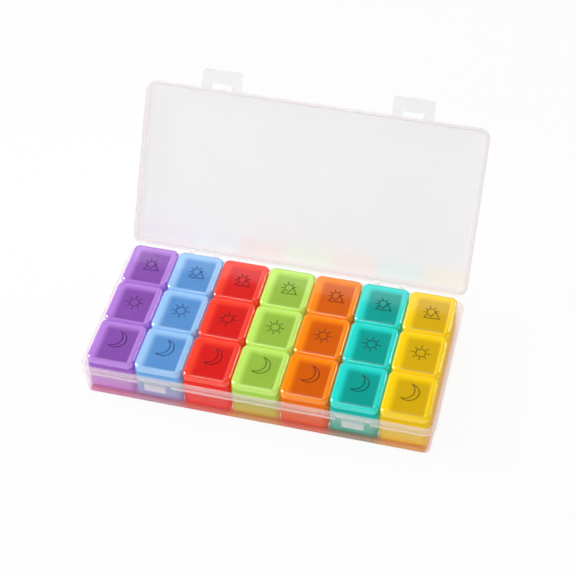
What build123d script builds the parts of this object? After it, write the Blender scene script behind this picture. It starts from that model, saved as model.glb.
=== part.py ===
from build123d import *
from math import cos, radians, sin
import os

# A weekly pill organizer: a clear case with a hinged lid and two latch flaps, and seven day
# boxes in it, each with three cells under three small hinged lids. Millimetres, Z up. The
# origin is the centre of the tray's underside. X runs along the row of days, Y from the
# latches to the rear hinge. The case lid stands open against its stops.

# Case, whose tray and lid share one plan
case_width = 210.0
case_depth = 103.2
flange_corner = 6.0
flange_out = 1.6
wall = 1.3
draft = 2.0

# Tray
tray_height = 23.4
tray_floor = 1.5
tray_bottom_round = 2.4
floor_round = 1.0
lip_height = 1.5
lip_out = 1.2
band_height = 2.4
rim_round = 0.4

# Case lid
rim_gap = 0.2
lid_height = 9.4
lid_top = 1.4
lid_top_round = 1.8
lid_band_height = 3.6
lid_open = 121.6
lid_front_step = 1.2
rib_spread = 14.0
rib_height = 4.0
rib_width = 0.8
rib_out = 0.6

# Rear hinge
station_spread = 58.4
notch_width = 19.8
hinge_out = 0.8
hinge_rise = 0.9
hinge_clear = 0.4
hinge_pin = 1.0
hinge_pin_length = 2.6
pin_clear = 0.05
ear_thick = 3.0
arm_width = 12.0
side_clear = 0.3
stop_gap = 0.1
heel_length = 3.0
ear_root = 7.4
arm_root = 4.2

# Latches and their catches
latch_width = 24.5
latch_length = 12.0
latch_thick = 1.3
latch_gap = 0.3
latch_corner = 1.8
window_width = 13.0
window_reach = 3.5
pad_reach = 3.0
pad_rise = 0.5
hook_depth = 1.3
hook_clear = 0.2
catch_width = 12.6
catch_height = 7.0
catch_drop = 1.9
catch_round = 0.5

# Day boxes
day_names = ["purple", "blue", "red", "green", "orange", "teal", "yellow"]
box_gap = 0.4
box_side_clear = 1.15
box_end_clear = 1.1
box_wall = 1.2
box_hinge_wall = 3.2
box_floor = 1.2
box_rim = 25.0
box_bottom_round = 4.0
box_corner = 3.8
partition = 1.9
cell_corner = 2.2
cell_floor_round = 1.7
seat_gap = 0.3

# Small lids
row_names = ["night", "noon", "morning"]
lid_gap = 0.4
cap_gap = 0.1
cap_height = 4.8
cap_side_gap = 0.05
cap_wall = 1.2
cap_round = 2.2
cap_end = 2.4
cap_skin = 0.7
cap_pin = 0.7
cap_pin_clear = 0.06
cap_ear_width = 1.6
cap_ear_clear = 0.2
cap_ear_radius = 1.35
cap_post_width = 1.8

# Places that follow from the sizes above
body_width = case_width - 2 * flange_out
body_depth = case_depth - 2 * flange_out
body_corner = flange_corner - flange_out
cavity_width = body_width - 2 * wall
cavity_depth = body_depth - 2 * wall
band_top = tray_height - lip_height
band_bottom = band_top - band_height
lid_rim = tray_height + rim_gap
hinge_y = case_depth / 2 + hinge_out
hinge_z = tray_height + hinge_rise
hinge_radius = flange_out + hinge_out - hinge_clear
ear_offset = arm_width / 2 + side_clear + ear_thick / 2
stations = [-station_spread, station_spread]
lid_front = case_depth / 2 - lid_front_step
latch_axis_y = -(lid_front + latch_gap + latch_thick / 2)
latch_axis_z = lid_rim + latch_thick / 2
latch_tip = lid_front + latch_length
catch_top = tray_height - catch_drop
catch_bottom = catch_top - catch_height
hook_start = latch_axis_z - catch_bottom + hook_clear - latch_axis_y
box_pitch = (cavity_width - 2 * box_side_clear + box_gap) / len(day_names)
box_width = box_pitch - box_gap
box_length = cavity_depth - 2 * box_end_clear
box_bottom = tray_floor + seat_gap
row_pitch = (box_length - 2 * cap_side_gap + lid_gap) / len(row_names)
cap_length = row_pitch - lid_gap
cap_bottom = box_rim + cap_gap
cap_top = cap_bottom + cap_height
cap_half = box_width / 2 - cap_side_gap
cap_axis_x = cap_half - cap_round
cap_axis_z = cap_top - cap_round
cap_slot_width = cap_ear_width + 2 * cap_ear_clear
cap_slot_place = cap_length / 2 - cap_end - cap_slot_width / 2
cell_pitch = (box_length - 2 * box_wall + partition) / len(row_names)
cell_length = cell_pitch - partition
day_places = [(i - (len(day_names) - 1) / 2) * box_pitch for i in range(len(day_names))]
row_places = [(i - (len(row_names) - 1) / 2) * row_pitch for i in range(len(row_names))]

# The lid's own frame: a point's coordinates in it are those that the point has when the
# case is closed, and the frame is turned back about the rear hinge by the open angle.
turn = radians(lid_open)
lid_frame = Plane(
    origin=(
        0,
        hinge_y - hinge_y * cos(turn) - hinge_z * sin(turn),
        hinge_z + hinge_y * sin(turn) - hinge_z * cos(turn),
    ),
    x_dir=(1, 0, 0),
    z_dir=(0, sin(turn), cos(turn)),
)
lid_up = Axis((0, 0, 0), lid_frame.z_dir)


def cross_plane(frame, x):
    """The plane across the length at x, with the frame's Y to the right and its Z up."""
    return Plane(origin=frame.from_local_coords((x, 0, 0)), x_dir=frame.y_dir, z_dir=frame.x_dir)


def face_place(face, axis):
    """How far along the axis a face lies."""
    return Vector(axis.direction).dot(face.center())


def flat_face(part, axis, near):
    """The part's flat face square to the axis whose place along it is nearest to the given one."""
    flats = part.faces().filter_by(axis)
    return min(flats, key=lambda face: abs(face_place(face, axis) - near))


# Clear tray, with its flange, front catches and rear hinge ears
open_forward = Vector(0, -cos(turn), sin(turn))
open_back = Vector(0, sin(turn), cos(turn))
stop_reach = flange_out + hinge_out - stop_gap
heel_start = Vector(0, hinge_y, hinge_z) + open_forward * stop_reach
heel_end = heel_start + open_back * heel_length
ear_outline = [
    (body_depth / 2 - wall / 3, tray_height - hinge_rise),
    (hinge_y - hinge_radius, hinge_z),
    (heel_start.Y, heel_start.Z),
    (heel_end.Y, heel_end.Z),
    (heel_end.Y, heel_end.Z - wall),
    (body_depth / 2 - wall / 3, tray_height - ear_root),
]

with BuildPart() as case_tray:
    with BuildSketch(Plane.XY.offset(tray_height)):
        RectangleRounded(body_width, body_depth, body_corner)
    extrude(amount=tray_height, dir=(0, 0, -1), taper=draft)
    fillet(flat_face(case_tray, Axis.Z, 0).edges(), tray_bottom_round)
    with BuildSketch(Plane.XY.offset(tray_height)):
        RectangleRounded(cavity_width, cavity_depth, body_corner - wall)
    extrude(amount=tray_height - tray_floor, dir=(0, 0, -1), taper=draft, mode=Mode.SUBTRACT)
    fillet(flat_face(case_tray, Axis.Z, tray_floor).edges(), floor_round)
    with BuildSketch(Plane.XY.offset(band_bottom)):
        RectangleRounded(case_width, case_depth, flange_corner)
        RectangleRounded(body_width - wall, body_depth - wall, body_corner - wall / 2, mode=Mode.SUBTRACT)
    extrude(amount=band_height)
    with BuildSketch(Plane.XY.offset(band_top)):
        step = 2 * (flange_out - lip_out)
        RectangleRounded(case_width - step, case_depth - step, flange_corner - step / 2)
        RectangleRounded(body_width - wall, body_depth - wall, body_corner - wall / 2, mode=Mode.SUBTRACT)
    extrude(amount=lip_height)
    fillet(flat_face(case_tray, Axis.Z, tray_height).edges(), rim_round)
    with BuildSketch(Plane.XY.offset(band_bottom)):
        with Locations(*[(x, body_depth / 2 + flange_out) for x in stations]):
            Rectangle(notch_width, 2 * flange_out)
    extrude(amount=band_height + lip_height, mode=Mode.SUBTRACT)
    with BuildSketch(Plane.XY.offset(band_bottom)):
        with Locations(*[(x, -body_depth / 2 - flange_out) for x in stations]):
            Rectangle(notch_width, 2 * flange_out)
    extrude(amount=band_height, mode=Mode.SUBTRACT)
    for x in stations:
        with BuildSketch(Plane.XZ.offset(body_depth / 2 - wall / 2)):
            with Locations((x, (catch_top + catch_bottom) / 2)):
                RectangleRounded(catch_width, catch_height, catch_round)
        extrude(amount=flange_out + wall / 2)
        for side in (-1, 1):
            with BuildSketch(cross_plane(Plane.XY, x + side * ear_offset)):
                with BuildLine():
                    Polyline(*ear_outline, close=True)
                make_face()
                with Locations((hinge_y, hinge_z)):
                    Circle(hinge_radius)
                    Circle(hinge_pin + pin_clear, mode=Mode.SUBTRACT)
            extrude(amount=ear_thick / 2, both=True)

# Clear case lid, with its hinge knuckles and stub pins
knuckle_top = hinge_z + hinge_radius
arm_outline = [
    (body_depth / 2 - wall / 2, lid_rim),
    (body_depth / 2, lid_rim),
    (hinge_y, hinge_z),
    (hinge_y, knuckle_top),
    (body_depth / 2 - wall / 2, lid_rim + arm_root),
]

with BuildPart() as case_lid:
    with BuildSketch(lid_frame.offset(lid_rim)):
        RectangleRounded(body_width, body_depth, body_corner)
    extrude(amount=lid_height, taper=draft)
    fillet(case_lid.faces().sort_by(lid_up)[-1].edges(), lid_top_round)
    with BuildSketch(lid_frame.offset(lid_rim)):
        RectangleRounded(cavity_width, cavity_depth, body_corner - wall)
    extrude(amount=lid_height - lid_top, taper=draft, mode=Mode.SUBTRACT)
    ceiling = face_place(case_lid.faces().sort_by(lid_up)[-1], lid_up) - lid_top
    fillet(flat_face(case_lid, lid_up, ceiling).edges(), floor_round)
    with BuildSketch(lid_frame.offset(lid_rim)):
        with Locations((0, lid_front_step / 2)):
            RectangleRounded(case_width, case_depth - lid_front_step, flange_corner)
        RectangleRounded(body_width - wall, body_depth - wall, body_corner - wall / 2, mode=Mode.SUBTRACT)
    extrude(amount=lid_band_height)
    fillet(flat_face(case_lid, lid_up, ceiling + lid_top - lid_height).edges(), rim_round)
    with BuildSketch(lid_frame.offset(lid_rim)):
        with Locations(*[(x, body_depth / 2 + flange_out) for x in stations]):
            Rectangle(notch_width, 2 * flange_out)
    extrude(amount=lid_band_height, mode=Mode.SUBTRACT)
    with BuildSketch(lid_frame.offset(lid_rim + rim_round)):
        for x in stations:
            with Locations(*[(x + side * rib_spread, -body_depth / 2 + wall) for side in (-1, 1)]):
                Rectangle(rib_width, 2 * rib_out)
    extrude(amount=rib_height)
    for x in stations:
        with BuildSketch(cross_plane(lid_frame, x)):
            with BuildLine():
                Polyline(*arm_outline, close=True)
            make_face()
            with Locations((hinge_y, hinge_z)):
                Circle(hinge_radius)
        extrude(amount=arm_width / 2, both=True)
        with BuildSketch(cross_plane(lid_frame, x)):
            with Locations((hinge_y, hinge_z)):
                Circle(hinge_pin)
        extrude(amount=arm_width / 2 + side_clear + hinge_pin_length, both=True)


def make_latch(x):
    """One latch flap at x, in line with the open lid: two arms round a window, then a pad and a hook lip."""
    inner = latch_axis_z + lid_front_step - latch_thick / 2
    outer = inner + latch_thick
    root = -latch_axis_y
    with BuildPart() as latch:
        with BuildSketch(lid_frame.offset(inner)):
            with Locations((x, -(root + latch_tip) / 2)):
                Rectangle(latch_width, latch_tip - root)
        extrude(amount=latch_thick)
        free_edges = latch.edges().filter_by(lid_up).sort_by(Axis((0, 0, 0), lid_frame.y_dir))[:2]
        fillet(free_edges, latch_corner)
        with BuildSketch(cross_plane(lid_frame, x)):
            with Locations((latch_axis_y, latch_axis_z)):
                Circle(latch_thick / 2)
            with Locations((latch_axis_y, (latch_axis_z + outer) / 2)):
                Rectangle(latch_thick, outer - latch_axis_z)
        extrude(amount=latch_width / 2, both=True)
        with BuildSketch(lid_frame.offset(inner - hook_depth)):
            with Locations((x, -(hook_start + latch_tip) / 2)):
                Rectangle(latch_width - 2 * latch_corner, latch_tip - hook_start)
        extrude(amount=hook_depth + latch_thick / 2)
        with BuildSketch(lid_frame.offset(latch_axis_z - latch_thick / 2)):
            with Locations((x, -(lid_front + window_reach / 2))):
                Rectangle(window_width, window_reach)
        extrude(amount=latch_thick + lid_front_step, mode=Mode.SUBTRACT)
        with BuildSketch(lid_frame.offset(inner + latch_thick / 2)):
            with Locations((x, -(lid_front + window_reach + pad_reach / 2))):
                Rectangle(window_width, pad_reach)
        extrude(amount=latch_thick / 2 + pad_rise)
    return latch.part


# One day box about its own middle: three open cells, and bored ears on its thicker right wall
# for the lids' pins
box_height = box_rim - box_bottom
ear_places = [y + side * cap_slot_place for y in row_places for side in (-1, 1)]

with BuildPart() as cells:
    with BuildSketch(Plane.XY.offset(box_bottom + box_floor)):
        with Locations(((box_wall - box_hinge_wall) / 2, 0)):
            with GridLocations(0, cell_pitch, 1, len(row_names)):
                RectangleRounded(box_width - box_wall - box_hinge_wall, cell_length, cell_corner)
    extrude(amount=box_height - box_floor)
    fillet(cells.faces().group_by(Axis.Z)[0].edges(), cell_floor_round)

with BuildPart() as day_box:
    with BuildSketch(Plane.XY.offset(box_bottom)):
        RectangleRounded(box_width, box_length, box_corner)
    extrude(amount=box_height)
    with BuildSketch(Plane.XZ.offset(-box_length / 2)) as front_view:
        with Locations((0, box_bottom + box_height / 2)):
            Rectangle(box_width, box_height)
        fillet(front_view.vertices().group_by(Axis.Z)[0], box_bottom_round)
    extrude(amount=box_length, mode=Mode.INTERSECT)
    with BuildSketch(cross_plane(Plane.XY, -box_width / 2)) as side_view:
        with Locations((0, box_bottom + box_height / 2)):
            Rectangle(box_length, box_height)
        fillet(side_view.vertices().group_by(Axis.Z)[0], box_bottom_round)
    extrude(amount=box_width, mode=Mode.INTERSECT)
    add(cells.part, mode=Mode.SUBTRACT)
    for y in ear_places:
        with BuildSketch(Plane.XZ.offset(-y)):
            with Locations((cap_axis_x, (box_rim - box_wall + cap_axis_z) / 2)):
                Rectangle(cap_post_width, cap_axis_z - box_rim + box_wall)
            with Locations((cap_axis_x, cap_axis_z)):
                Circle(cap_ear_radius)
                Circle(cap_pin + cap_pin_clear, mode=Mode.SUBTRACT)
        extrude(amount=cap_ear_width / 2, both=True)

# One small lid about its own middle: a shallow shell whose rounded right edge is the barrel,
# with a slot near each end where its pin shows and the box's ear reaches in
hollow_left = cap_wall - cap_half
hollow_right = cap_axis_x - cap_round
slot_top = cap_top - cap_skin

with BuildPart() as cap:
    with BuildSketch(Plane.XY.offset(cap_bottom)):
        RectangleRounded(2 * cap_half, cap_length, box_corner)
    extrude(amount=cap_height)
    fillet(cap.faces().sort_by(Axis.Z)[-1].edges(), cap_round)
    with BuildSketch(Plane.XZ):
        with Locations((cap_axis_x + cap_round, cap_axis_z - cap_round)):
            Rectangle(2 * cap_round, 2 * cap_round)
        with Locations((cap_axis_x, cap_axis_z)):
            Circle(cap_round, mode=Mode.SUBTRACT)
    extrude(amount=cap_length, both=True, mode=Mode.SUBTRACT)
    with BuildSketch(Plane.XY.offset(cap_bottom)):
        with Locations(((hollow_left + hollow_right) / 2, 0)):
            RectangleRounded(hollow_right - hollow_left, cap_length - 2 * cap_wall, cell_corner)
    extrude(amount=cap_height - cap_wall, mode=Mode.SUBTRACT)
    for side in (-1, 1):
        with BuildSketch(Plane.XZ.offset(side * cap_slot_place)):
            with Locations((cap_axis_x, (cap_bottom + slot_top) / 2)):
                Rectangle(2 * (cap_round + cap_ear_clear), slot_top - cap_bottom)
            with Locations((cap_axis_x, cap_axis_z)):
                Circle(cap_pin, mode=Mode.SUBTRACT)
        extrude(amount=cap_slot_width / 2, both=True, mode=Mode.SUBTRACT)

parts = {"case_tray": case_tray.part, "case_lid": case_lid.part}
parts["latch_left"] = make_latch(-station_spread)
parts["latch_right"] = make_latch(station_spread)
for day, day_x in zip(day_names, day_places):
    parts[f"day_box_{day}"] = day_box.part.moved(Location((day_x, 0, 0)))
    for row, row_y in zip(row_names, row_places):
        parts[f"lid_{row}_{day}"] = cap.part.moved(Location((day_x, row_y, 0)))

os.makedirs("parts", exist_ok=True)
for name, shape in parts.items():
    shape.label = name
    export_step(shape, f"parts/{name}.step")
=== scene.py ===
"""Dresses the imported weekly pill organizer: plastics, raised icons, studio light and camera.

Lengths in the classes are millimetres in the model's own frame: the origin under the middle of the
tray, X along the row of days, Y from the latches to the rear hinge, Z up.
"""

import logging
from collections.abc import Mapping, Sequence
from dataclasses import dataclass
from enum import Enum

import bpy
import numpy as np
from mathutils import Matrix, Vector


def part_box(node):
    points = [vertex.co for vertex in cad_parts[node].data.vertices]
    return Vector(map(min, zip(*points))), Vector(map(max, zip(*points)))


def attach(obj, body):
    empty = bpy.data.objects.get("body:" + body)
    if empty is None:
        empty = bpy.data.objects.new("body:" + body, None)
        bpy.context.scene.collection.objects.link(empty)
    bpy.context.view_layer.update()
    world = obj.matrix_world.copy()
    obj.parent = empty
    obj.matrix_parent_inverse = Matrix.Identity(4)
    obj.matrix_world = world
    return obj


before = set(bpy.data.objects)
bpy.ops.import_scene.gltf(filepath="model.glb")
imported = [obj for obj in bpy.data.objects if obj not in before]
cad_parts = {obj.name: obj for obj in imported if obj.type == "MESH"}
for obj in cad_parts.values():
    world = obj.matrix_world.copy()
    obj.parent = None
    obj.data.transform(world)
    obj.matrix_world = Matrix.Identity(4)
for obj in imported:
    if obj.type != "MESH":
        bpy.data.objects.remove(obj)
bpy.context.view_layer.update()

MM = 0.001
log = logging.getLogger("pill_organizer")

Colour = tuple[float, float, float]
Place = tuple[float, float, float]
Span = tuple[float, float]

LEFT, RIGHT = (-1.0, 0.0, 0.0), (1.0, 0.0, 0.0)
FRONT, REAR = (0.0, -1.0, 0.0), (0.0, 1.0, 0.0)
DOWN, UP = (0.0, 0.0, -1.0), (0.0, 0.0, 1.0)


class Day(Enum):
    """The seven day boxes, from left to right, each named by its colour."""

    PURPLE = "purple"
    BLUE = "blue"
    RED = "red"
    GREEN = "green"
    ORANGE = "orange"
    TEAL = "teal"
    YELLOW = "yellow"


class Row(Enum):
    """The three rows of cells, from the front to the back."""

    NIGHT = "night"
    NOON = "noon"
    MORNING = "morning"


def srgb(red: float, green: float, blue: float) -> Colour:
    """A colour given as 8-bit display values, as the linear values that shaders take.

    The sRGB curve: below 0.04045 a share of 1 / 12.92, above it ((c + 0.055) / 1.055) to the 2.4.

    Args:
        red: Red, 0 to 255.
        green: Green, 0 to 255.
        blue: Blue, 0 to 255.

    Returns:
        The three linear values.
    """
    share = np.array([red, green, blue]) / 255
    linear = np.where(share <= 0.04045, share / 12.92, ((share + 0.055) / 1.055) ** 2.4)
    return tuple(float(value) for value in linear)


def mixed(first: Colour, second: Colour, share: float) -> Colour:
    """One colour turned towards another by a share from 0 to 1."""
    return tuple(one + (other - one) * share for one, other in zip(first, second))


def tint(colour: Colour, share: float) -> Colour:
    """White turned towards a colour by a share from 0 to 1."""
    return mixed((1.0, 1.0, 1.0), colour, share)


class Value:
    """A number, vector or colour that leaves a node. Python's operators on it add Math nodes."""

    def __init__(self, graph: "Graph", socket: bpy.types.NodeSocket) -> None:
        """Wraps one output socket of a graph."""
        self.graph = graph
        self.socket = socket

    def math(self, operation: str, *others: "Value | float") -> "Value":
        """A Math node on this value and the others after it."""
        return self.graph.math(operation, self, *others)

    def __add__(self, other: "Value | float") -> "Value":
        """This value plus another."""
        return self.math("ADD", other)

    __radd__ = __add__

    def __mul__(self, other: "Value | float") -> "Value":
        """This value times another."""
        return self.math("MULTIPLY", other)

    __rmul__ = __mul__

    def __sub__(self, other: "Value | float") -> "Value":
        """This value less another."""
        return self.math("SUBTRACT", other)

    def __rsub__(self, other: "Value | float") -> "Value":
        """Another value less this one."""
        return self.graph.math("SUBTRACT", other, self)

    def rise(self, start: float, end: float) -> "Value":
        """A smooth step from 0 where this place along a line is start, to 1 where it is end."""
        sockets = {"Value": self, "From Min": start * MM, "From Max": end * MM}
        return self.graph.node("ShaderNodeMapRange", {"interpolation_type": "SMOOTHSTEP"}, sockets)


class Graph:
    """One material's or world's node tree, with every node made by the same method."""

    def __init__(self, tree: bpy.types.NodeTree) -> None:
        """Empties the tree."""
        self.tree = tree
        tree.nodes.clear()

    @staticmethod
    def _find(sockets: bpy.types.bpy_prop_collection, key: int | str) -> bpy.types.NodeSocket:
        """The socket at an index, or the first one in use that has a name."""
        named = (socket for socket in sockets if socket.name == key and not socket.is_unavailable)
        return sockets[key] if isinstance(key, int) else next(named)

    def node(
        self,
        kind: str,
        settings: Mapping[str, object] | None = None,
        sockets: Mapping[int | str, object] | None = None,
        output: int | str = 0,
    ) -> Value:
        """Adds one node.

        Args:
            kind: The node's type.
            settings: Its own settings, which are set first.
            sockets: The value or link of each of its sockets that differs from the default.
            output: Which of its outputs to hand back.

        Returns:
            That output, or the first input of a node that has no outputs.
        """
        node = self.tree.nodes.new(kind)
        for name, value in (settings or {}).items():
            setattr(node, name, value)
        for key, value in (sockets or {}).items():
            socket = self._find(node.inputs, key)
            if isinstance(value, Value):
                self.tree.links.new(value.socket, socket)
            else:
                socket.default_value = value
        if not node.outputs:
            return Value(self, node.inputs[0])
        return Value(self, self._find(node.outputs, output))

    def math(self, operation: str, *terms: Value | float) -> Value:
        """A Math node on its terms in order."""
        return self.node("ShaderNodeMath", {"operation": operation}, dict(enumerate(terms)))

    def place(self) -> Value:
        """The place on the piece, in metres in the model's frame."""
        return self.node("ShaderNodeTexCoord", output="Object")

    def axes(self, vector: Value) -> tuple[Value, Value, Value]:
        """A vector's three numbers."""
        return tuple(self.node("ShaderNodeSeparateXYZ", None, {0: vector}, i) for i in range(3))

    def blend(self, share: Value | float, low: Value | Colour, high: Value | Colour) -> Value:
        """A colour between two others.

        Args:
            share: How far it is from the first to the second, 0 to 1.
            low: The colour where share is 0.
            high: The colour where share is 1.

        Returns:
            The blended colour.
        """
        low, high = ((*c, 1.0) if isinstance(c, tuple) else c for c in (low, high))
        sockets = {"Factor": share, "A": low, "B": high}
        return self.node("ShaderNodeMix", {"data_type": "RGBA"}, sockets, "Result")

    def noise(self, scale: float, detail: float = 2.0) -> Value:
        """Soft noise from 0 to 1 over the piece, with scale waves to the metre."""
        sockets = {"Vector": self.place(), "Scale": scale, "Detail": detail}
        return self.node("ShaderNodeTexNoise", sockets=sockets)

    def ray(self, kind: str) -> Value:
        """Whether light comes along a kind of ray, 0 or 1."""
        return self.node("ShaderNodeLightPath", output=kind)

    def principled(self, sockets: Mapping[int | str, object]) -> Value:
        """A Principled shader with the given sockets set or linked."""
        return self.node("ShaderNodeBsdfPrincipled", sockets=sockets)

    def clear(self, colour: Colour) -> Value:
        """A shader that lets light straight through and gives it a colour."""
        return self.node("ShaderNodeBsdfTransparent", sockets={"Color": (*colour, 1.0)})

    def mix(self, share: Value, first: Value, second: Value) -> Value:
        """A shader between two others: the first where share is 0 and the second where it is 1."""
        return self.node("ShaderNodeMixShader", sockets={0: share, 1: first, 2: second})

    def finish(self, shader: Value, output: str = "ShaderNodeOutputMaterial") -> None:
        """Links the shader to the tree's surface output."""
        self.node(output, sockets={"Surface": shader})


@dataclass(frozen=True)
class Grain:
    """Soft noise on a finish: its waves to the metre, and how much it adds at most."""

    scale: float
    amount: float

    def spread(self, graph: Graph) -> Value:
        """The noise over a piece, from 0 to its amount."""
        return graph.noise(self.scale) * self.amount


@dataclass(frozen=True)
class Ripple:
    """A finish's fine bumps: waves to the metre, their fineness, and their depth and strength."""

    scale: float
    detail: float
    depth: float
    strength: float

    def normal(self, graph: Graph) -> Value:
        """The way that the surface faces, tilted by the bumps.

        Args:
            graph: The material's graph.

        Returns:
            The bumped normal.
        """
        height = graph.noise(self.scale, self.detail)
        sockets = {"Height": height, "Distance": self.depth * MM, "Strength": self.strength}
        return graph.node("ShaderNodeBump", sockets=sockets)


class Finish:
    """What a piece can be dressed in. Each kind makes its own shader."""

    def shader(self, graph: Graph) -> Value:
        """The finish's shader in a material's graph."""
        raise NotImplementedError

    def material(self, name: str) -> bpy.types.Material:
        """Makes the finish a material.

        Args:
            name: The material's name.

        Returns:
            The material.
        """
        material = bpy.data.materials.new(name)
        material.use_nodes = True
        graph = Graph(material.node_tree)
        graph.finish(self.shader(graph))
        return material


@dataclass(frozen=True)
class CapPlastic(Finish):
    """Tinted clear plastic of a small lid: see-through over the cell, denser in its thick edges.

    Each edge of the window, and that of the strip behind it, is a soft step, given by the distance
    of its middle from the lid's middle and by its width. The pitches are those of the columns and
    rows, so one material serves all of a day's lids. Over the window the colour turns towards the
    deep one: painted shade of the cell seen through the lid. The window's wide soft left edge is
    painted light from the cell's left wall. The pale line along the window's right and front
    edges is a painted highlight, and the emission is painted light let through the plastic.
    """

    colour: Colour
    deep_colour: Colour
    column_pitch: float
    row_pitch: float
    # painted light: the window's wide soft left edge stands in for light from the cell's left wall
    window_left: Span = (-8.7, 4.8)
    window_right: Span = (10.8, 1.2)
    window_front: Span = (-14.7, 1.2)
    window_back: Span = (10.3, 5.4)
    rear_strip: Span = (13.6, 0.8)
    edge_opacity: float = 0.95
    window_opacity: float = 0.72
    # how far the window turns to the deep colour: painted shade of the cell seen through the lid
    window_shade_share: float = 0.85
    strip_share: float = 0.35
    # painted highlight along the window's right and front edges: its share and how pale it is
    highlight_share: float = 0.16
    highlight_tint: float = 0.6
    clear_tint: float = 0.45
    mottle: Grain = Grain(90.0, 0.15)
    roughness: float = 0.2
    wear: Grain = Grain(700.0, 0.06)
    ripple: Ripple = Ripple(260.0, 1.0, 0.04, 0.3)
    # painted light: emission in the lid's own colour, standing in for light let through the plastic
    painted_glow: float = 0.24

    def zones(self, graph: Graph) -> tuple[Value, Value, Value]:
        """How much of the window, of the line along its two sharp edges, and of the strip shows.

        The window is the product of one smooth step in from each of its sides. The line, a painted
        highlight, is four times the window's share and what the two sharp steps lack to one, so it
        peaks halfway up them.

        Args:
            graph: The material's graph.

        Returns:
            The shares of the window, the painted highlight line and the lid's rear strip.
        """
        x, y, _ = graph.axes(graph.place())
        across, along = self.from_middle(x, self.column_pitch), self.from_middle(y, self.row_pitch)
        left = self.step(across, self.window_left, 1)
        right = self.step(across, self.window_right, -1)
        front = self.step(along, self.window_front, 1)
        back = self.step(along, self.window_back, -1)
        window = left * right * front * back
        line = window * (1.0 - right * front) * 4.0
        return window, line, self.step(along, self.rear_strip, 1)

    @staticmethod
    def from_middle(place: Value, pitch: float) -> Value:
        """A place along a row or column of lids, as its distance from the nearest lid's middle."""
        return place.math("WRAP", pitch * MM / 2, -pitch * MM / 2)

    @staticmethod
    def step(place: Value, edge: Span, side: int) -> Value:
        """A smooth step over an edge: up towards larger places if side is 1, down if it is -1."""
        middle, width = edge
        return place.rise(middle - side * width / 2, middle + side * width / 2)

    def shader(self, graph: Graph) -> Value:
        """The lid's plastic, mixed with tinted clear by its opacity.

        Args:
            graph: The material's graph.

        Returns:
            The shader.
        """
        window, line, strip = self.zones(graph)
        # painted shade of the cell over the window, with the mottle and the rear strip on the same
        # share
        depth = window * self.window_shade_share + self.mottle.spread(graph) + strip * self.strip_share
        colour = graph.blend(depth, self.colour, self.deep_colour)
        # painted highlight: the colour turns pale along the window's right and front edges
        colour = graph.blend(line * self.highlight_share, colour, tint(self.colour, self.highlight_tint))
        opacity = window * (self.window_opacity - self.edge_opacity) + self.edge_opacity
        plastic = graph.principled(
            {
                "Base Color": colour,
                "Roughness": self.roughness + self.wear.spread(graph),
                "Normal": self.ripple.normal(graph),
                "IOR": 1.45,
                "Specular IOR Level": 0.2,
                "Coat Weight": 0.8,
                "Coat Roughness": 0.07,
                "Coat IOR": 1.7,
                "Emission Color": colour,
                "Emission Strength": self.painted_glow,
            }
        )
        return graph.mix(opacity, graph.clear(tint(self.colour, self.clear_tint)), plastic)


@dataclass(frozen=True)
class BoxPlastic(Finish):
    """Tinted plastic of a day box: painted light along its rim, and two tones from there down."""

    painted_rim_colour: Colour
    wall_colour: Colour
    floor_colour: Colour
    rim_height: float
    # painted light: the band just under the lids, where the gaps between them lie in shade
    painted_light_band: Span = (18.5, 21.0)
    mottle: Grain = Grain(70.0, 0.2)
    roughness: float = 0.28
    wear: Grain = Grain(500.0, 0.06)
    ripple: Ripple = Ripple(200.0, 1.0, 0.05, 0.3)
    # painted light: emission in the box's own colour, standing in for light let through the plastic
    painted_glow: float = 0.3

    def shader(self, graph: Graph) -> Value:
        """The box's plastic: a mottled smooth step down from wall to floor, under painted rim
        light.

        Args:
            graph: The material's graph.

        Returns:
            The shader.
        """
        height = graph.axes(graph.place())[2]
        share = height.rise(self.rim_height, 0.0) + self.mottle.spread(graph)
        share = (share - self.mottle.amount / 2).math("MAXIMUM", 0.0)
        colour = graph.blend(share, self.wall_colour, self.floor_colour)
        # painted light: the band under the lids turns to the rim colour, lifting the shade of the
        # gaps
        colour = graph.blend(height.rise(*self.painted_light_band), colour, self.painted_rim_colour)
        return graph.principled(
            {
                "Base Color": colour,
                "Roughness": self.roughness + self.wear.spread(graph),
                "Normal": self.ripple.normal(graph),
                "IOR": 1.5,
                "Specular IOR Level": 0.3,
                "Emission Color": colour,
                "Emission Strength": self.painted_glow,
            }
        )


@dataclass(frozen=True)
class Patch:
    """A part of a piece with its own haze: what lies past a smooth step along a direction.

    The step starts and ends at the two distances of its zone. With seven colours instead of one,
    each day's stretch of the part takes its own, a painted reflection of the coloured box beside
    it. With inner given, the part is only what lies outside a rectangle of that half width and half
    depth.
    """

    along: Place
    zone: Span
    haze: float
    colours: tuple[Colour, ...]
    pitch: float = 28.9
    blur: float = 12.0
    shift: float = 0.0
    inner: Span | None = None
    inner_blur: float = 3.0

    def share(self, graph: Graph) -> Value:
        """How much a place belongs to the part.

        It is the step along the direction, times the larger of the two steps outwards from the
        inner rectangle's sides.

        Args:
            graph: The material's graph.

        Returns:
            The share, from 0 to 1.
        """
        sockets = {0: graph.place(), 1: self.along}
        reach = graph.node("ShaderNodeVectorMath", {"operation": "DOT_PRODUCT"}, sockets, "Value")
        share = reach.rise(*self.zone)
        if self.inner is None:
            return share
        width, depth = (
            axis.math("ABSOLUTE").rise(half, half + self.inner_blur)
            for axis, half in zip(graph.axes(graph.place()), self.inner)
        )
        return share * width.math("MAXIMUM", depth)

    def tone(self, graph: Graph) -> Value | Colour:
        """The part's colour, with a smooth step from each day's to the next halfway between them.

        Args:
            graph: The material's graph.

        Returns:
            The colour, which is plain where the part has only one.
        """
        tone = self.colours[0]
        across = graph.axes(graph.place())[0]
        for index, colour in enumerate(self.colours[1:]):
            border = (index + 1 - len(self.colours) / 2) * self.pitch + self.shift
            share = across.rise(border - self.blur / 2, border + self.blur / 2)
            tone = graph.blend(share, tone, colour)
        return tone


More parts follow.
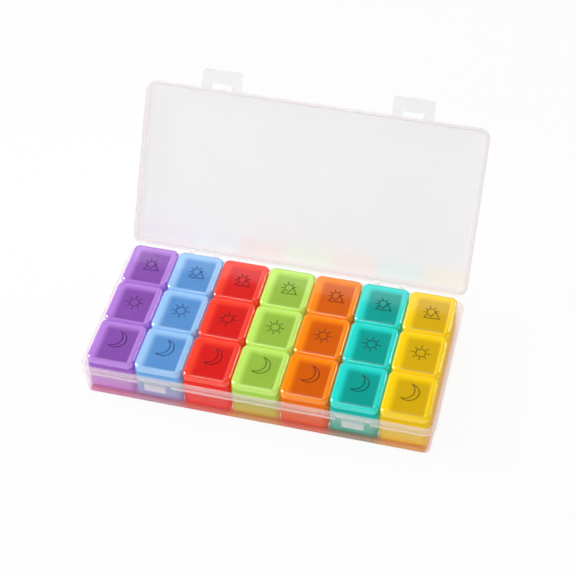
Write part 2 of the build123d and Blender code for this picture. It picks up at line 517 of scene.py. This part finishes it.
@dataclass(frozen=True)
class FrostedPlastic(Finish):
    """Clear plastic with a light frosting: mostly see-through, with its own haze on each patch.

    It is cloudy between its colour and a duller share of it, and denser where it is seen at a
    slant: the slant to a power, times edge_gloss, adds to its haze.
    """

    haze: float
    patches: tuple[Patch, ...] = ()
    colour: Colour = srgb(244, 243, 246)
    dull_share: float = 0.94
    cloud_scale: float = 30.0
    mottle: Grain = Grain(45.0, 0.02)
    slant_power: float = 4.0
    edge_gloss: float = 0.3
    roughness: float = 0.2
    wear: Grain = Grain(600.0, 0.08)
    frost: Ripple = Ripple(900.0, 3.0, 0.02, 0.4)
    clear_colour: Colour = (1.0, 0.995, 0.995)
    # painted light: emission in the case's own colour, standing in for light let through the
    # frosting
    painted_glow: float = 0.06

    def shader(self, graph: Graph) -> Value:
        """The case's plastic, mixed with clear by its opacity.

        Each patch turns the haze so far towards its own by its share. Its colour counts for its
        part of the new haze: its share times its own haze, over the new haze.

        Args:
            graph: The material's graph.

        Returns:
            The shader.
        """
        dull = tuple(self.dull_share * value for value in self.colour)
        colour = graph.blend(graph.noise(self.cloud_scale), self.colour, dull)
        haze = self.haze
        for patch in self.patches:
            share = patch.share(graph)
            new_haze = haze + share * (patch.haze - haze)
            weight = (share * patch.haze).math("DIVIDE", new_haze)
            colour = graph.blend(weight, colour, patch.tone(graph))
            haze = new_haze
        slant = graph.node("ShaderNodeLayerWeight", sockets={"Blend": 0.5}, output="Facing")
        gloss = slant.math("POWER", self.slant_power) * self.edge_gloss
        opacity = (haze + self.mottle.spread(graph) + gloss).math("MINIMUM", 1.0)
        plastic = graph.principled(
            {
                "Base Color": colour,
                "Roughness": self.roughness + self.wear.spread(graph),
                "Normal": self.frost.normal(graph),
                "IOR": 1.5,
                "Coat Weight": 1.0,
                "Coat Roughness": 0.12,
                "Emission Color": colour,
                "Emission Strength": self.painted_glow,
            }
        )
        return graph.mix(opacity, graph.clear(self.clear_colour), plastic)


@dataclass(frozen=True)
class IconInk(Finish):
    """The darker tint of an icon's raised lines, brighter by a gain and a lift where it is worn."""

    colour: Colour
    worn_gain: float = 1.35
    worn_lift: float = 0.01
    worn_scale: float = 600.0
    worn_detail: float = 3.0
    roughness: float = 0.3
    wear: Grain = Grain(900.0, 0.1)

    def shader(self, graph: Graph) -> Value:
        """The lines' plastic.

        Args:
            graph: The material's graph.

        Returns:
            The shader.
        """
        worn = tuple(min(1.0, value * self.worn_gain + self.worn_lift) for value in self.colour)
        mottle = graph.noise(self.worn_scale, self.worn_detail)
        return graph.principled(
            {
                "Base Color": graph.blend(mottle, self.colour, worn),
                "Roughness": self.roughness + self.wear.spread(graph),
                "Specular IOR Level": 0.1,
            }
        )


@dataclass(frozen=True)
class FloorPaper(Finish):
    """White paper under the object, almost plain white to the camera but for the shadow on it."""

    dull_colour: Colour = srgb(247, 247, 248)
    bright_colour: Colour = srgb(250, 250, 250)
    cloud_scale: float = 3.0
    roughness: float = 0.9
    white_share: float = 0.92

    def shader(self, graph: Graph) -> Value:
        """Matt paper, mixed with plain white along the camera's rays.

        Args:
            graph: The material's graph.

        Returns:
            The shader.
        """
        paper = graph.blend(graph.noise(self.cloud_scale), self.dull_colour, self.bright_colour)
        matt = graph.principled({"Base Color": paper, "Roughness": self.roughness})
        white = graph.node("ShaderNodeEmission", sockets={"Color": (1, 1, 1, 1), "Strength": 1.0})
        return graph.mix(graph.ray("Is Camera Ray") * self.white_share, matt, white)


def arc(centre: Sequence[float], radius: float, start: float, end: float, count: int) -> np.ndarray:
    """Places along an arc: centre + radius (cos a, sin a), for a from start to end in degrees."""
    angle = np.radians(np.linspace(start, end, count))
    return np.asarray(centre) + radius * np.column_stack([np.cos(angle), np.sin(angle)])


@dataclass(frozen=True)
class Stroke:
    """A raised line along a path, with a flat-topped bevelled section.

    points are the path's places as rows of x, y. A closed path ends where it starts. The section's
    four corners are given as shares of the line's width, out from the path.
    """

    points: np.ndarray
    closed: bool = False
    corners: tuple[float, float, float, float] = (0.5, 0.33, -0.33, -0.5)
    least_cosine: float = 0.4

    def ribbon(self, width: float, base: float, top: float) -> tuple[np.ndarray, np.ndarray]:
        """A closed solid along the stroke.

        At each place the section has four corners: half the width out at the base and a third of
        the width out at the top, both ways along the mean normal of the two runs that meet there,
        which is lengthened by one over the cosine of half the turn.

        Args:
            width: The line's width at its base.
            base: Height of the base.
            top: Height of the flat top.

        Returns:
            The vertices, and the faces as rows of four vertex numbers.
        """
        places = self.points
        runs = np.roll(places, -1, axis=0) - places if self.closed else np.diff(places, axis=0)
        runs /= np.linalg.norm(runs, axis=1, keepdims=True)
        before = np.roll(runs, 1, axis=0) if self.closed else np.vstack([runs[:1], runs])
        after = runs if self.closed else np.vstack([runs, runs[-1:]])
        normals = (before + after)[:, ::-1] * (-1, 1)
        normals /= np.linalg.norm(normals, axis=1, keepdims=True)
        cosine = np.sum(normals * after[:, ::-1] * (-1, 1), axis=1, keepdims=True)
        stretch = 1 / np.maximum(cosine, self.least_cosine)
        offsets = np.array(self.corners) * width
        flat = places[:, None, :] + offsets[None, :, None] * (normals * stretch)[:, None, :]
        heights = np.array([base, top, top, base])[None, :, None]
        heights = np.broadcast_to(heights, (len(places), 4, 1))
        vertices = np.concatenate([flat, heights], axis=2).reshape(-1, 3)
        sections = len(places) if self.closed else len(places) - 1
        here = np.arange(sections)[:, None] * 4
        there = (here + 4) % (4 * len(places))
        corner = np.arange(4)[None, :]
        following = (corner + 1) % 4
        sides = [here + corner, there + corner, there + following, here + following]
        faces = np.stack(sides, axis=2).reshape(-1, 4)
        if not self.closed:
            last = 4 * (len(places) - 1)
            faces = np.vstack([faces, [[0, 1, 2, 3]], [[last + 3, last + 2, last + 1, last]]])
        return vertices, faces


def ray(centre: Sequence[float], angle: float, start: float, end: float) -> Stroke:
    """A straight line away from a centre, between two distances, at an angle in degrees."""
    return Stroke(np.vstack([arc(centre, distance, angle, angle, 1) for distance in (start, end)]))


@dataclass(frozen=True)
class Icon:
    """The lines of one icon about its middle, and the mesh that they make on a lid.

    shift is how far the icon's middle lies to the right of the lid's, and behind it.
    """

    shift: Span = (0.0, 0.0)
    line_width: float = 0.7
    rise: float = 0.07
    sink: float = 0.03

    def strokes(self) -> list[Stroke]:
        """The icon's lines."""
        raise NotImplementedError

    def build(self, name: str, lid_middle: Place) -> bpy.types.Object:
        """Makes the icon's object.

        Args:
            name: The object's name.
            lid_middle: The middle of the lid's top face.

        Returns:
            The object, with its place in its mesh.
        """
        x, y, z = lid_middle
        right, back = self.shift
        solids = [s.ribbon(self.line_width, -self.sink, self.rise) for s in self.strokes()]
        starts = np.cumsum([0] + [len(vertices) for vertices, _ in solids[:-1]])
        vertices = (np.vstack([v for v, _ in solids]) + (x + right, y + back, z)) * MM
        faces = np.vstack([f + start for (_, f), start in zip(solids, starts)])
        mesh = bpy.data.meshes.new(name)
        mesh.from_pydata(vertices.tolist(), [], faces.tolist())
        mesh.update()
        piece = bpy.data.objects.new(name, mesh)
        bpy.context.scene.collection.objects.link(piece)
        return piece


@dataclass(frozen=True)
class Sun(Icon):
    """A ring with short rays all round."""

    shift: Span = (0.5, -0.5)
    ring_radius: float = 2.85
    ring_points: int = 40
    ray_start: float = 3.6
    ray_end: float = 5.6
    rays: int = 8

    def strokes(self) -> list[Stroke]:
        """The ring, and a straight line for each ray.

        Returns:
            The strokes.
        """
        circle = arc((0, 0), self.ring_radius, 0, 360, self.ring_points + 1)
        angles = np.linspace(0, 360, self.rays, endpoint=False)
        rays = [ray((0, 0), angle, self.ray_start, self.ray_end) for angle in angles]
        return [Stroke(circle[:-1], closed=True), *rays]


@dataclass(frozen=True)
class Crescent(Icon):
    """A moon's outline between two arcs over one chord."""

    shift: Span = (0.0, 0.95)
    half_chord: float = 5.9
    outer_depth: float = 7.6
    inner_depth: float = 4.7
    side_points: int = 25
    aim: float = -21.6
    setback: float = 2.35

    def side(self, depth: float) -> np.ndarray:
        """Places along an arc over the chord.

        The radius is (half chord squared + depth squared) / (2 depth), and the arc reaches as far
        each way as the angle whose tangent is half the chord over (radius - depth).

        Args:
            depth: How far the arc's middle stands off the chord.

        Returns:
            The places, from one end of the chord to the other.
        """
        radius = (self.half_chord**2 + depth**2) / (2 * depth)
        reach = float(np.degrees(np.arctan2(self.half_chord, radius - depth)))
        return arc((depth - radius - self.setback, 0), radius, -reach, reach, self.side_points)

    def strokes(self) -> list[Stroke]:
        """The outer arc forwards and the inner arc back, turned to the moon's aim.

        Returns:
            The one closed stroke.
        """
        outline = np.vstack([self.side(self.outer_depth), self.side(self.inner_depth)[-2:0:-1]])
        turn = np.radians(self.aim)
        across = np.array([np.cos(turn), np.sin(turn)])
        along = np.array([-np.sin(turn), np.cos(turn)])
        return [Stroke(outline[:, :1] * across + outline[:, 1:] * along, closed=True)]


@dataclass(frozen=True)
class Sunrise(Icon):
    """A small sun over the outline of two mountains. The sun's arc spans two angles."""

    shift: Span = (0.7, 0.6)
    sun_radius: float = 2.4
    sun_height: float = -0.1
    sun_span: Span = (-2.0, 214.0)
    sun_points: int = 27
    ray_start: float = 3.1
    ray_end: float = 4.7
    ray_angles: tuple[float, ...] = (15, 60, 105, 150, 192)
    peaks: tuple[Span, ...] = ((-3.5, -5.2), (-2.1, -2.0), (0.5, -3.7), (2.8, 0.2), (5.6, -4.9))

    def strokes(self) -> list[Stroke]:
        """The sun's arc above the peaks, its rays, and the mountains.

        Returns:
            The strokes.
        """
        middle = (0, self.sun_height)
        disc = Stroke(arc(middle, self.sun_radius, *self.sun_span, self.sun_points))
        rays = [ray(middle, angle, self.ray_start, self.ray_end) for angle in self.ray_angles]
        return [disc, *rays, Stroke(np.array(self.peaks), closed=True)]


ICONS = {Row.NIGHT: Crescent(), Row.NOON: Sun(), Row.MORNING: Sunrise()}


@dataclass(frozen=True)
class DayPaint:
    """The colours of one day: the lids, their deeper tone, the box's wall and floor, the icons."""

    lid_colour: Colour
    deep_colour: Colour
    wall_colour: Colour
    floor_colour: Colour
    ink_colour: Colour


PAINTS = {
    Day.PURPLE: DayPaint(
        lid_colour=srgb(188, 135, 224),
        deep_colour=srgb(140, 83, 176),
        wall_colour=srgb(170, 140, 177),
        floor_colour=srgb(196, 120, 207),
        ink_colour=srgb(74, 30, 108),
    ),
    Day.BLUE: DayPaint(
        lid_colour=srgb(161, 204, 244),
        deep_colour=srgb(90, 151, 210),
        wall_colour=srgb(130, 164, 168),
        floor_colour=srgb(158, 143, 202),
        ink_colour=srgb(28, 72, 134),
    ),
    Day.RED: DayPaint(
        lid_colour=srgb(249, 71, 47),
        deep_colour=srgb(216, 31, 32),
        wall_colour=srgb(204, 3, 3),
        floor_colour=srgb(234, 28, 18),
        ink_colour=srgb(118, 2, 8),
    ),
    Day.GREEN: DayPaint(
        lid_colour=srgb(197, 237, 108),
        deep_colour=srgb(156, 193, 71),
        wall_colour=srgb(143, 164, 76),
        floor_colour=srgb(206, 173, 47),
        ink_colour=srgb(74, 110, 4),
    ),
    Day.ORANGE: DayPaint(
        lid_colour=srgb(253, 143, 3),
        deep_colour=srgb(211, 98, 3),
        wall_colour=srgb(199, 99, 3),
        floor_colour=srgb(228, 73, 3),
        ink_colour=srgb(124, 36, 0),
    ),
    Day.TEAL: DayPaint(
        lid_colour=srgb(35, 223, 212),
        deep_colour=srgb(3, 161, 150),
        wall_colour=srgb(137, 178, 174),
        floor_colour=srgb(21, 162, 133),
        ink_colour=srgb(0, 78, 76),
    ),
    Day.YELLOW: DayPaint(
        lid_colour=srgb(250, 213, 3),
        deep_colour=srgb(211, 177, 3),
        wall_colour=srgb(204, 172, 74),
        floor_colour=srgb(233, 188, 15),
        ink_colour=srgb(114, 84, 0),
    ),
}


def dress_node(node: str, material: bpy.types.Material) -> None:
    """Gives a node of the model one material in place of those it came with.

    Args:
        node: The node's name.
        material: The material.
    """
    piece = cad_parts[node]
    piece.data.materials.clear()
    piece.data.materials.append(material)


@dataclass
class DayBox:
    """One day's box with its three small lids and their icons.

    The box's rim band is painted light: it takes the lids' colour, turned towards the deep one by
    rim_share.
    """

    day: Day
    rim_share: float = 0.75

    def lid_middle(self, row: Row) -> Place:
        """The middle of a small lid's top face, from its node's box."""
        low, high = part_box(f"lid_{row.value}_{self.day.value}")
        return (low.x + high.x) / 2 / MM, (low.y + high.y) / 2 / MM, high.z / MM

    def build(self) -> list[str]:
        """Gives the box and its lids their plastics, and adds the icons.

        Returns:
            The names of the pieces that it dressed or made.
        """
        name, paint = self.day.value, PAINTS[self.day]
        middles = {row: self.lid_middle(row) for row in Row}
        row_pitch = middles[Row.MORNING][1] - middles[Row.NOON][1]
        first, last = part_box("day_box_purple"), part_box("day_box_yellow")
        column_pitch = (last[0].x - first[0].x) / (len(Day) - 1) / MM
        cap_plastic = CapPlastic(paint.lid_colour, paint.deep_colour, column_pitch, row_pitch)
        cap = cap_plastic.material(f"{name}_lid")
        low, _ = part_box(f"lid_{Row.NOON.value}_{name}")
        # the colour of the box's painted-light rim band
        painted_rim_colour = mixed(paint.lid_colour, paint.deep_colour, self.rim_share)
        box_plastic = BoxPlastic(painted_rim_colour, paint.wall_colour, paint.floor_colour, low.z / MM)
        body = box_plastic.material(f"{name}_box")
        ink = IconInk(paint.ink_colour).material(f"{name}_icon")
        dress_node(f"day_box_{name}", body)
        pieces = [f"day_box_{name}"]
        for row in Row:
            node = f"lid_{row.value}_{name}"
            dress_node(node, cap)
            icon = ICONS[row].build(f"icon_{row.value}_{name}", middles[row])
            icon.data.materials.append(ink)
            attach(icon, node)
            pieces += [node, icon.name]
        return pieces


@dataclass
class Case:
    """The frosted case: the tray, its lid and the lid's two latches.

    Each zone is where a part of the plastic with its own haze sets in and where it is complete.
    The tray's zones are distances from the origin towards the side that they face. The open lid's
    are distances back from its rim or up from its hinge's axis, which lies at lid_hinge in Y and Z.
    """

    foot_zone: Span = (-8.0, -3.6)
    foot_inside: Span = (96.0, 40.5)
    end_zone: Span = (98.0, 102.0)
    front_zone: Span = (50.2, 50.6)
    flange_zone: Span = (19.3, 19.7)
    rear_zone: Span = (51.7, 52.0)
    lid_turn: float = 121.6
    closed_rim_height: float = 23.6
    lid_hinge: Span = (52.4, 24.3)
    rim_zone: Span = (3.8, 3.4)
    # where the painted reflection of the small lids lies on the open lid
    reflection_zone: Span = (18.0, 9.0)
    low_zone: Span = (4.5, 3.0)
    arm_zone: Span = (1.6, 1.2)
    # colours and shares of the painted reflections of the boxes in the tray's foot and on the open
    # lid
    warm_reflection_colour: Colour = srgb(226, 104, 70)
    warm_reflection_share: float = 0.5
    foot_reflection_tint: float = 0.97
    lid_reflection_tint: float = 0.3

    def build(self) -> list[str]:
        """Gives the tray, the lid and the latches their frosted plastics.

        Returns:
            The names of the nodes that it dressed.
        """
        latch = FrostedPlastic(haze=0.16, colour=srgb(234, 233, 237), edge_gloss=0.6)
        latch_material = latch.material("latch_frosted")
        materials = {
            "case_tray": self.tray_plastic().material("tray_frosted"),
            "case_lid": self.lid_plastic().material("lid_frosted"),
            "latch_left": latch_material,
            "latch_right": latch_material,
        }
        for node, material in materials.items():
            dress_node(node, material)
        return list(materials)

    def tray_plastic(self) -> FrostedPlastic:
        """The tray's plastic: painted reflections on its foot and ends, milky at its front and rim.

        Returns:
            The finish.
        """
        edge = (srgb(252, 238, 238),)
        tints = self.foot_reflection_tints()
        patches = (
            # painted reflection: the tray's foot takes each box's colour, turned warm
            Patch(DOWN, self.foot_zone, haze=0.8, colours=tints, inner=self.foot_inside),
            # painted reflections: pink from the purple box at the left end, peach from the yellow
            # box at the right
            Patch(LEFT, self.end_zone, haze=0.12, colours=(srgb(226, 190, 214),)),
            Patch(RIGHT, self.end_zone, haze=0.28, colours=(srgb(240, 190, 140),)),
            Patch(FRONT, self.front_zone, haze=0.5, colours=edge),
            Patch(UP, self.flange_zone, haze=0.25, colours=edge),
            Patch(REAR, self.rear_zone, haze=0.04, colours=edge),
        )
        return FrostedPlastic(haze=0.02, patches=patches, painted_glow=0.14)

    def lid_plastic(self) -> FrostedPlastic:
        """The open lid's plastic: painted reflection of the small lids low down, denser along its
        rim.

        Returns:
            The finish.
        """
        inward, rim = self.lid_rim()
        down, foot = self.lid_foot()
        lid_reflection, low, arms = (
            (foot - start, foot - full)
            for start, full in (self.reflection_zone, self.low_zone, self.arm_zone)
        )
        band = (rim - self.rim_zone[0], rim - self.rim_zone[1])
        patches = (
            # painted reflection: the open lid faintly takes each small lid's colour
            Patch(down, lid_reflection, haze=0.22, colours=self.lid_reflection_tints(), blur=5.0, shift=5.0),
            Patch(down, low, haze=0.26, colours=(srgb(241, 224, 228),)),
            Patch(inward, band, haze=0.3, colours=(srgb(242, 226, 229),)),
            Patch(down, arms, haze=0.04, colours=(srgb(246, 240, 242),)),
        )
        return FrostedPlastic(haze=0.2, patches=patches, colour=srgb(240, 240, 244))

    def foot_reflection_tints(self) -> tuple[Colour, ...]:
        """The painted reflection of each box in the tray's clear foot, turned to a warm colour."""
        warm_reflections = (mixed(PAINTS[day].floor_colour, self.warm_reflection_colour, self.warm_reflection_share) for day in Day)
        return tuple(tint(warm_reflection, self.foot_reflection_tint) for warm_reflection in warm_reflections)

    def lid_reflection_tints(self) -> tuple[Colour, ...]:
        """The faint painted reflection of the small lids before it, on the open lid."""
        return tuple(tint(PAINTS[day].lid_colour, self.lid_reflection_tint) for day in Day)

    def lid_rim(self) -> tuple[Place, float]:
        """The way that the open lid's inside faces, and how far along it the rim lies.

        The way is straight down turned with the lid: (0, -sin turn, -cos turn). Along it, the rim
        lies past the hinge's axis by as much as the closed lid's rim lies below that axis.

        Returns:
            The way and the distance.
        """
        turn = float(np.radians(self.lid_turn))
        inward = (0.0, float(-np.sin(turn)), float(-np.cos(turn)))
        y, z = self.lid_hinge
        return inward, y * inward[1] + z * inward[2] + z - self.closed_rim_height

    def lid_foot(self) -> tuple[Place, float]:
        """The way down the open lid to its hinge, and how far along it the hinge's axis lies.

        The way is straight back turned with the lid: (0, cos turn, -sin turn).

        Returns:
            The way and the distance.
        """
        turn = float(np.radians(self.lid_turn))
        down = (0.0, float(np.cos(turn)), float(-np.sin(turn)))
        y, z = self.lid_hinge
        return down, y * down[1] + z * down[2]


@dataclass(frozen=True)
class Lamp:
    """A flat soft lamp at a place, turned to its aim, with its power in watts.

    A lamp that doesn't light matt surfaces shows in gloss alone.
    """

    name: str
    place: Place
    size: Span
    power: float
    lights_matt: bool = True
    aim: Place = (0.0, 0.0, 30.0)

    def hang(self) -> None:
        """Adds the lamp to the scene, where the camera doesn't see it."""
        data = bpy.data.lights.new(self.name, "AREA")
        data.shape = "RECTANGLE"
        data.size, data.size_y = (side * MM for side in self.size)
        data.energy = self.power
        lamp = bpy.data.objects.new(self.name, data)
        lamp.visible_camera = False
        lamp.visible_diffuse = self.lights_matt
        place, aim = (Vector([value * MM for value in spot]) for spot in (self.place, self.aim))
        lamp.location = place
        lamp.rotation_euler = (aim - place).to_track_quat("-Z", "Y").to_euler()
        bpy.context.scene.collection.objects.link(lamp)


@dataclass
class Studio:
    """A white studio: floor, world, soft lamps, and the camera at the photograph's place.

    The camera looks along its azimuth and down by its elevation, rolled about its own line, all in
    degrees. Its focal length is given in pixels of the photograph.
    """

    camera_place: Place = (163.49, -569.31, 695.37)
    camera_azimuth: float = -15.195
    camera_elevation: float = 46.893
    camera_roll: float = -1.498
    focal_pixels: float = 1517.17
    picture_pixels: float = 576.0
    sensor: float = 36.0
    far_clip: float = 20000.0
    floor_half: float = 4000.0
    world_light: float = 0.4
    world_gloss: float = 0.05
    lamps: tuple[Lamp, ...] = (
        Lamp("key", (-1150.0, -150.0, 800.0), (1000.0, 150.0), 10.0),
        Lamp("front", (-250.0, -1050.0, 950.0), (300.0, 300.0), 2.0),
        Lamp("rim", (950.0, 850.0, 350.0), (200.0, 200.0), 1.6),
        Lamp("top", (200.0, 300.0, 1500.0), (1000.0, 1000.0), 3.0),
        Lamp("rear", (0.0, 170.0, 139.0), (300.0, 60.0), 0.09),
        Lamp("glint", (-1200.0, -170.0, 410.0), (200.0, 200.0), 40.0, lights_matt=False),
    )

    def build(self) -> list[str]:
        """Sets up the whole studio.

        Returns:
            The names of the objects that it added.
        """
        self.camera()
        self.floor()
        self.world()
        for lamp in self.lamps:
            lamp.hang()
        bpy.context.scene.view_settings.view_transform = "Standard"
        return ["camera", "floor", *(lamp.name for lamp in self.lamps)]

    def camera(self) -> None:
        """Places the camera: the columns of its pose are right, up and back along its own line."""
        angles = (self.camera_azimuth, self.camera_elevation, self.camera_roll)
        azimuth, down, roll = (np.radians(angle) for angle in angles)
        ahead = np.array([np.sin(azimuth), np.cos(azimuth)]) * np.cos(down)
        forward = np.array([*ahead, -np.sin(down)])
        level = np.array([np.cos(azimuth), -np.sin(azimuth), 0.0])
        upright = np.cross(level, forward)
        right = np.cos(roll) * level + np.sin(roll) * upright
        up = np.cross(right, forward)
        data = bpy.data.cameras.new("camera")
        data.sensor_width = self.sensor
        data.lens = self.focal_pixels / self.picture_pixels * self.sensor
        data.clip_end = self.far_clip * MM
        camera = bpy.data.objects.new("camera", data)
        pose = np.identity(4)
        pose[:3, 0], pose[:3, 1], pose[:3, 2] = right, up, -forward
        pose[:3, 3] = np.array(self.camera_place) * MM
        camera.matrix_world = Matrix(pose.tolist())
        bpy.context.scene.collection.objects.link(camera)
        bpy.context.scene.camera = camera

    def floor(self) -> None:
        """A wide white floor under the tray that keeps a soft shadow of the object."""
        half = self.floor_half * MM
        mesh = bpy.data.meshes.new("floor")
        corners = [(-half, -half, 0), (half, -half, 0), (half, half, 0), (-half, half, 0)]
        mesh.from_pydata(corners, [], [(0, 1, 2, 3)])
        floor = bpy.data.objects.new("floor", mesh)
        bpy.context.scene.collection.objects.link(floor)
        mesh.materials.append(FloorPaper().material("floor_white"))

    def world(self) -> None:
        """A white surround that the camera sees as white, and that lights softly."""
        world = bpy.data.worlds.new("studio")
        world.use_nodes = True
        bpy.context.scene.world = world
        graph = Graph(world.node_tree)
        gloss_change = self.world_gloss - self.world_light
        level = graph.ray("Is Glossy Ray") * gloss_change + self.world_light
        strength = graph.ray("Is Camera Ray") * (1.0 - level) + level
        sockets = {"Color": (1, 1, 1, 1), "Strength": strength}
        background = graph.node("ShaderNodeBackground", sockets=sockets)
        graph.finish(background, "ShaderNodeOutputWorld")


def main() -> None:
    """Builds the studio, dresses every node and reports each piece."""
    logging.basicConfig(level=logging.INFO, format="%(name)s: %(message)s")
    for assembly in (Studio(), Case(), *(DayBox(day) for day in Day)):
        for piece in assembly.build():
            log.info("%s: %s", type(assembly).__name__, piece)


if __name__ == "__main__":
    main()
